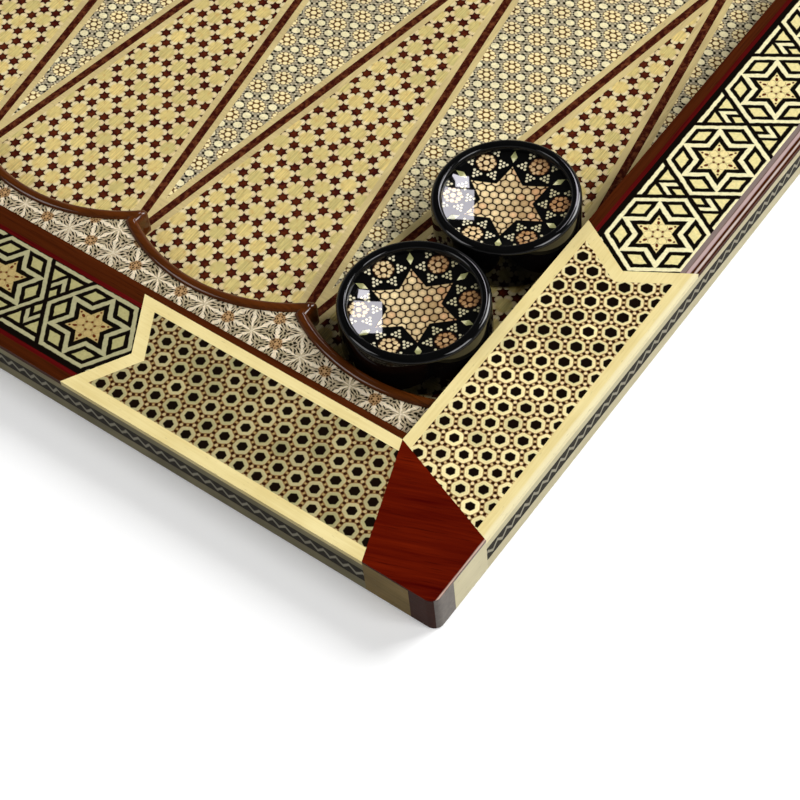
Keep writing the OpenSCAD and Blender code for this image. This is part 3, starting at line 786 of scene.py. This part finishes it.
def brass():
    """Brass with a worn polish: darker in places, with fine scratches."""
    bright, dull = (0.74, 0.50, 0.16), (0.50, 0.31, 0.10)
    s = Surface("brass")
    cloud = s.noise(s.x / 5, s.y / 5, s.z / 5, 3.0)
    scratch = s.noise(s.x / 0.15, s.y / 3, s.z / 0.15)
    colour = s.mix(bright, dull, ramp(cloud, 3.0, -1.0))
    material = s.finish(colour, cloud * 0.2 + 0.16, scratch, 0.01, 0.0)
    s.shader.inputs["Metallic"].default_value = 1.0
    s.shader.inputs["Specular IOR Level"].default_value = 0.5
    return material


def black_lacquer():
    """Black lacquer with faint rub marks."""
    black, rubbed = (0.0008, 0.0008, 0.001), (0.003, 0.003, 0.003)
    s = Surface("black_lacquer")
    rub = s.noise(s.x / 4, s.y / 4, s.z / 1.5, 3.0, 0.6)
    speck = s.noise(s.x / 0.4, s.y / 0.4, s.z / 0.4, 1.0)
    s.finish(s.mix(black, rubbed, rub), rub * 0.2 + 0.2, speck, 0.004, 0.8, 0.025)
    s.shader.inputs["Specular IOR Level"].default_value = 0.0
    return s.material


# The edge lines below are painted highlights and reflections; the corner blocks' side colours are
# painted shade and a painted reflection.
RIM_WOOD = wood(
    "mahogany", (0.035, 0.006, 0.001), (0.085, 0.017, 0.003), None, 0.6,
    edge=(((0.62, 0.50, 0.44), 0.60, 0.20), ((0.50, 0.36, 0.34), 1.72, 0.36)),
)
RED_STRIP = wood(
    "red_strip", (0.050, 0.0010, 0.0012), (0.13, 0.006, 0.006), None, 0.4,
    edge=(((0.22, 0.165, 0.15), 2.60, 0.75),),
)
RED_MAHOGANY = wood(
    "red_mahogany", (0.045, 0.0003, 0.0003), (0.135, 0.0085, 0.0008), math.radians(-69), 0.9, 20.0,
    edge=(((0.60, 0.42, 0.34), 0.2, 0.12),),
    side_shades=((0.042, 0.0125, 0.007), (0.185, 0.165, 0.148)),
)
PANEL_WOOD = wood("panel_wood", (0.13, 0.055, 0.02), (0.26, 0.13, 0.055), 0.0, 1.0)
MOULDING_WOOD = wood(
    "moulding_wood", (0.040, 0.010, 0.001), (0.11, 0.026, 0.003), math.radians(90), 0.7, coat=0.8,
)
BONE = bone("bone", (0.86, 0.73, 0.36), (0.74, 0.60, 0.26))
LINE_BONE = bone("line_bone", (0.66, 0.53, 0.24), (0.48, 0.37, 0.17))
# The side faces' bone is duller than the top's as painted shade, and darker still on the end arms as
# painted shade.
SIDE_BONE = bone("side_bone", (0.56, 0.50, 0.30), (0.42, 0.36, 0.20), 0.2, (0.23, 0.20, 0.11))
PLATE_BONE = bone("plate_bone", (0.62, 0.55, 0.34), (0.50, 0.44, 0.26), 0.2, (0.25, 0.17, 0.06))
BRASS = brass()
LACQUER = black_lacquer()
CHECKER_KHATAM = checker_khatam()

FINISHES = {
    "bottom_panel": PANEL_WOOD,
    "ground_marquetry": flower_khatam(),
    "point_marquetry": star_khatam(),
    "point_pale_lines": LINE_BONE,
    "point_dark_lines": dark_line(),
    "south_rail": RIM_WOOD,
    "outer_rail": RIM_WOOD,
    "north_rail": RIM_WOOD,
    "hinge_rail": RIM_WOOD,
    "corner_blocks": RED_MAHOGANY,
    "dotted_panels": dotted_khatam(),
    "star_bands": girih(),
    "rim_bone_strips": BONE,
    "rim_red_strips": RED_STRIP,
    "rim_wood_strips": RIM_WOOD,
    "side_bands": zigzag(),
    "side_bone_strips": SIDE_BONE,
    "side_bone_plates": PLATE_BONE,
    "south_ledge": RIM_WOOD,
    "north_ledge": RIM_WOOD,
    "ledge_marquetry": ledge_khatam(),
    "hinge_leaves": BRASS,
    "hinge_pins": BRASS,
    "hinge_screws": BRASS,
    "clasp_hook": BRASS,
    "clasp_screw": BRASS,
    "clasp_catch": BRASS,
}


def dress_nodes():
    """Gives every CAD node that stays its finish."""
    for name, node in frame["nodes"].items():
        kind = name.removesuffix("_right").removesuffix("_left")
        if kind in FINISHES:
            node.data.materials.clear()
            node.data.materials.append(FINISHES[kind])


# Pieces that stand for CAD nodes

SHARP_ANGLE = math.radians(35)


def smooth_mesh(name, made):
    """A mesh from a bmesh, shaded smooth but for its sharp edges."""
    bmesh.ops.recalc_face_normals(made, faces=made.faces)
    mesh = bpy.data.meshes.new(name)
    made.to_mesh(mesh)
    made.free()
    mesh.shade_smooth()
    mesh.set_sharp_from_angle(angle=SHARP_ANGLE)
    return mesh


def add_piece(mesh, material, node):
    """Puts a mesh in the scene in place of a CAD node, under the mesh's own name."""
    piece = bpy.data.objects.new(mesh.name, mesh)
    bpy.context.scene.collection.objects.link(piece)
    mesh.materials.append(material)
    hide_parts(node)
    return piece


def loft(name, rings):
    """A closed mesh through rings of points, with a flat cap on the first and the last."""
    made = bmesh.new()
    rows = [[made.verts.new(point) for point in ring] for ring in rings]
    for row, following in zip(rows, rows[1:]):
        for i in range(len(row)):
            j = (i + 1) % len(row)
            made.faces.new((row[i], row[j], following[j], following[i]))
    made.faces.new(rows[0][::-1])
    made.faces.new(rows[-1])
    return smooth_mesh(name, made)


ARC_STEPS = 30
ROUND_STEPS = 6
NOSE_ROUND = 1.0


def moulding_stations():
    """Pairs of points along the scallops, on the moulding's field side and on its ledge side,
    each as a distance along the end rail from its first corner and one from the end of the
    board. Each scallop runs on past the nose after it, to a wall where the next one begins."""
    centre = SCALLOP_REACH + SCALLOP_R
    rim = FIRST_POINT - RIM_W
    wall = NOSE_OVER - POINT_PITCH / 2
    back_wall = wall - MOULDING_W

    def reach_of(local, radius):
        return min(NOSE_REACH, centre - math.sqrt(radius * radius - local * local))

    stations = []
    for i in range(POINTS):
        middle = FIRST_POINT + i * POINT_PITCH
        first = wall, back_wall
        last = wall + POINT_PITCH - NOSE_ROUND, back_wall + POINT_PITCH
        if i == 0:
            first = -rim, -rim
        if i == POINTS - 1:
            last = rim, rim
        for step in range(ARC_STEPS + 1):
            share = step / ARC_STEPS
            local = first[0] + (last[0] - first[0]) * share
            back = first[1] + (last[1] - first[1]) * share
            stations.append([
                (middle + local, reach_of(local, SCALLOP_R)),
                (middle + back, reach_of(back, SCALLOP_R + MOULDING_W)),
            ])
        if i < POINTS - 1:
            (corner, top), behind = stations[-1]
            for step in range(1, ROUND_STEPS + 1):
                turn = math.pi / 2 * step / ROUND_STEPS
                rounded = NOSE_ROUND * math.sin(turn), NOSE_ROUND * (1 - math.cos(turn))
                stations.append([(corner + rounded[0], top - rounded[1]), behind])
    return stations


def moulding_profile():
    """The moulding's outline as pairs of a share of its width and a height, round on top."""
    outer_round, inner_round = 0.46, 0.34
    outer_drop, inner_drop = 1.3, MOULDING_TOP - LEDGE_TOP + 0.1
    profile = [(1.0, FIELD_TOP), (0.0, FIELD_TOP)]
    for i in range(ROUND_STEPS + 1):
        turn = math.pi / 2 * i / ROUND_STEPS
        profile.append((
            outer_round * (1 - math.cos(turn)),
            MOULDING_TOP - outer_drop * (1 - math.sin(turn)),
        ))
    for i in range(ROUND_STEPS + 1):
        turn = math.pi / 2 * i / ROUND_STEPS
        profile.append((
            1 - inner_round * (1 - math.sin(turn)),
            MOULDING_TOP - inner_drop * (1 - math.cos(turn)),
        ))
    return profile


def add_mouldings():
    stations = moulding_stations()
    profile = moulding_profile()
    for side, half in ((1, "right"), (-1, "left")):
        for end, ending in ((-1, "south"), (1, "north")):
            rings = []
            for outer, inner in stations:
                ring = []
                for share, height in profile:
                    along = outer[0] + (inner[0] - outer[0]) * share
                    reach = outer[1] + (inner[1] - outer[1]) * share
                    from_hinge = HALF_SEAM + along if end < 0 else HALF_W - along
                    ring.append((
                        side * from_hinge * MM, end * (HALF_L - reach) * MM, height * MM,
                    ))
                rings.append(ring)
            node = f"{ending}_moulding_{half}"
            mesh = loft(f"{node}_round", rings)
            piece = add_piece(mesh, MOULDING_WOOD, node)
            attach(piece, f"{half}_half")


TURN_STEPS = 144


def lathe(name, profile):
    """A closed round mesh from an outline of radii and heights that starts and ends on the axis."""
    made = bmesh.new()
    first = made.verts.new((0, 0, profile[0][1] * MM))
    last = made.verts.new((0, 0, profile[-1][1] * MM))
    angles = [2 * math.pi * i / TURN_STEPS for i in range(TURN_STEPS)]
    rows = []
    for radius, height in profile[1:-1]:
        rows.append([
            made.verts.new((radius * MM * math.cos(angle), radius * MM * math.sin(angle), height * MM))
            for angle in angles
        ])
    for i in range(TURN_STEPS):
        j = (i + 1) % TURN_STEPS
        made.faces.new((first, rows[0][i], rows[0][j]))
        made.faces.new((last, rows[-1][j], rows[-1][i]))
        for row, following in zip(rows, rows[1:]):
            made.faces.new((row[i], following[i], following[j], row[j]))
    return smooth_mesh(name, made)


def quarter(centre_r, centre_z, radius_r, radius_z, start, steps=8):
    """A quarter of an ellipse as radii and heights, turning from start by a right angle."""
    return [
        (
            centre_r + radius_r * math.cos(start + math.pi / 2 * i / steps),
            centre_z + radius_z * math.sin(start + math.pi / 2 * i / steps),
        )
        for i in range(steps + 1)
    ]


def body_profile(radius, height, sheet_r, sheet_low, sheet_top):
    """A checker's body: rounded outer edges, and a lip that falls to the sheet in its top."""
    edge = 1.0
    lip = 0.62
    play = 0.02
    sunk = 0.05
    lip_low = sheet_top - sunk
    return (
        [(0, 0)]
        + quarter(radius - edge, edge, edge, edge, -math.pi / 2)
        + quarter(radius - edge, height - edge, edge, edge, 0)
        + quarter(sheet_r + play + lip, lip_low, lip, height - lip_low, math.pi / 2)
        + [(sheet_r + play, sheet_low), (0, sheet_low)]
    )


def sheet_profile(sheet_r, sheet_low, sheet_top):
    """A checker's sheet of marquetry: flat below, and dished on top."""
    dish_drop = 1.0
    dish_rings = 10
    play = 0.01
    low = sheet_low + play
    profile = [(0, low), (sheet_r, low)]
    for ring in range(dish_rings):
        share = 1 - ring / dish_rings
        profile.append((sheet_r * share, sheet_top - dish_drop * (1 - share ** 2)))
    return profile + [(0, sheet_top - dish_drop)]


def add_checkers():
    """The two checkers: a lacquered body with a soft rim, and a dished sheet of marquetry."""
    turns = {1: math.radians(39.7), 2: math.radians(26.2)}
    for i, turn in turns.items():
        checker = f"checker_{i}"
        low, high = millimetres(f"{checker}_body")
        inlay_low, inlay_high = millimetres(f"{checker}_inlay")
        middle = (low + high) / 2
        radius, height = (high.x - low.x) / 2, high.z - low.z
        sheet = (inlay_high.x - inlay_low.x) / 2, inlay_low.z - low.z, inlay_high.z - low.z
        body_mesh = lathe(f"{checker}_lacquered", body_profile(radius, height, *sheet))
        sheet_mesh = lathe(f"{checker}_marquetry", sheet_profile(*sheet))
        pieces = (
            add_piece(body_mesh, LACQUER, f"{checker}_body"),
            add_piece(sheet_mesh, CHECKER_KHATAM, f"{checker}_inlay"),
        )
        for piece in pieces:
            piece.location = Vector((middle.x, middle.y, low.z)) * MM
            piece.rotation_euler = (0, 0, turn)
            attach(piece, checker)


# Camera, floor and light

def add_camera():
    """The photograph's viewpoint: square frame, no shift, depth of field off."""
    place = Vector((408.109, -424.170, 313.968)) * MM
    right = Vector((0.80628506, 0.58731787, -0.07044237))
    up = Vector((-0.44781435, 0.68385845, 0.57602076))
    back = right.cross(up)
    camera = bpy.data.cameras.new("camera")
    camera.lens = 91.42
    camera.sensor_width = 36.0
    camera.clip_start, camera.clip_end = 0.02, 50.0
    viewer = bpy.data.objects.new("camera", camera)
    turn = Matrix((right, up, back)).transposed().to_4x4()
    viewer.matrix_world = Matrix.Translation(place) @ turn
    bpy.context.scene.collection.objects.link(viewer)
    bpy.context.scene.camera = viewer


def add_floor():
    """A pale floor: white to the camera and in reflections, and grey as a source of light. Away
    from the board, where the lamps don't reach, it shines white by itself."""
    half, drop = 30.0, -0.0003
    white_from, white_run = 0.6, 0.9
    glow_near, glow_far = 0.10, 1.0
    lighting_grey, seen_white = (0.30, 0.30, 0.31), (0.98, 0.98, 0.98)
    mesh = bpy.data.meshes.new("floor")
    mesh.from_pydata(
        [(-half, -half, drop), (half, -half, drop), (half, half, drop), (-half, half, drop)],
        [], [(0, 1, 2, 3)],
    )
    floor = bpy.data.objects.new("floor", mesh)
    bpy.context.scene.collection.objects.link(floor)
    material = bpy.data.materials.new("floor")
    material.use_nodes = True
    tree = material.node_tree
    shader = tree.nodes["Principled BSDF"]
    shader.inputs["Roughness"].default_value = 0.9
    shader.inputs["Specular IOR Level"].default_value = 0.1
    path = tree.nodes.new("ShaderNodeLightPath")
    seen = most(*(
        Number(tree, path.outputs[ray])
        for ray in ("Is Camera Ray", "Is Glossy Ray", "Is Transmission Ray")
    ))
    mix = tree.nodes.new("ShaderNodeMix")
    mix.data_type = "RGBA"
    mix.inputs[6].default_value = (*lighting_grey, 1.0)
    mix.inputs[7].default_value = (*seen_white, 1.0)
    tree.links.new(seen.socket, mix.inputs[0])
    tree.links.new(mix.outputs[2], shader.inputs["Base Color"])
    x, y, _ = coordinates(tree, "Object")
    away = (length(x, y) - white_from).math("DIVIDE", white_run, clamp=True)
    glow = seen * (away * (glow_far - glow_near) + glow_near)
    shader.inputs["Emission Color"].default_value = (1.0, 1.0, 1.0, 1.0)
    tree.links.new(glow.socket, shader.inputs["Emission Strength"])
    mesh.materials.append(material)


def add_area_light(name, size, power, colour=(1, 1, 1)):
    """A rectangular lamp, still without a place."""
    light = bpy.data.lights.new(name, "AREA")
    light.shape = "RECTANGLE"
    light.size, light.size_y = size
    light.energy = power
    light.color = colour
    lamp = bpy.data.objects.new(name, light)
    lamp.rotation_mode = "QUATERNION"
    bpy.context.scene.collection.objects.link(lamp)
    return lamp


def add_soft_box(name, towards, power):
    """A large lamp over the board. towards is its direction from the point that it is aimed at."""
    size = 1.2, 1.2
    aim = Vector((0.2, -0.2, 0.0))
    distance = 2.6
    lamp = add_area_light(name, size, power)
    direction = Vector(towards).normalized()
    lamp.location = aim + direction * distance
    lamp.rotation_quaternion = direction.to_track_quat("Z", "Y")


def add_pane(name, receivers, place, across, size, power):
    """A window pane that only the pieces in the receivers collection reflect. across is the
    direction of its first side."""
    window_light = 0.95, 0.92, 1.0
    lamp = add_area_light(name, size, power, window_light)
    lamp.location = place
    facing = (Vector(place) - CHECKERS_MIDDLE).normalized()
    across = Vector(across)
    across = (across - facing * across.dot(facing)).normalized()
    turn = Matrix((across, facing.cross(across), facing)).transposed()
    lamp.rotation_quaternion = turn.to_quaternion()
    lamp.light_linking.receiver_collection = receivers


def add_windows():
    """The window that the checkers reflect, as one pane and a smaller one above it. Each checker
    has its own pair, placed so that the mirror images lie where the photograph has them."""
    near = bpy.data.collections.new("near_checker_and_mouldings")
    far = bpy.data.collections.new("far_checker")
    for piece in bpy.context.scene.collection.objects:
        if piece.name.startswith("checker_1") or "_moulding_" in piece.name:
            near.objects.link(piece)
        elif piece.name.startswith("checker_2"):
            far.objects.link(piece)
    for name, receivers, place, across, size, power in (
        ("near_window", near, (-0.148, 0.513, 0.976), (-0.811, -0.576, 0.106), (0.112, 0.228), 1.1),
        ("near_pane", near, (-0.048, 0.427, 1.071), (-0.854, -0.515, 0.076), (0.044, 0.060), 0.16),
        ("far_window", far, (0.048, 0.653, 0.919), (-0.873, -0.433, 0.224), (0.448, 0.233), 4.3),
        ("far_pane", far, (-0.019, 0.468, 1.053), (-0.817, -0.555, 0.157), (0.057, 0.082), 0.29),
    ):
        add_pane(name, receivers, place, across, size, power)


def add_world():
    """A plain room: dim overhead, so that the lacquer stays clear, and lighter lower down."""
    low, high = 0.1, 0.6
    low_light, high_light = 0.5, 0.04
    world = bpy.data.worlds.new("room")
    bpy.context.scene.world = world
    world.use_nodes = True
    tree = world.node_tree
    rise = (coordinates(tree, "Generated")[2] - low).math("DIVIDE", high - low, clamp=True)
    strength = rise * (high_light - low_light) + low_light
    background = tree.nodes["Background"]
    background.inputs["Color"].default_value = (1.0, 0.99, 0.97, 1.0)
    tree.links.new(strength.socket, background.inputs["Strength"])


def add_lights():
    add_world()
    add_windows()
    add_soft_box("back", (0.35, 0.75, 0.56), 60.0)
    add_soft_box("right", (0.75, 0.1, 0.65), 37.5)
    add_soft_box("left", (-0.5, -0.55, 0.67), 19.0)
    bpy.context.scene.view_settings.view_transform = "Standard"


dress_nodes()
add_mouldings()
add_checkers()
add_camera()
add_floor()
add_lights()

bpy.context.view_layer.update()
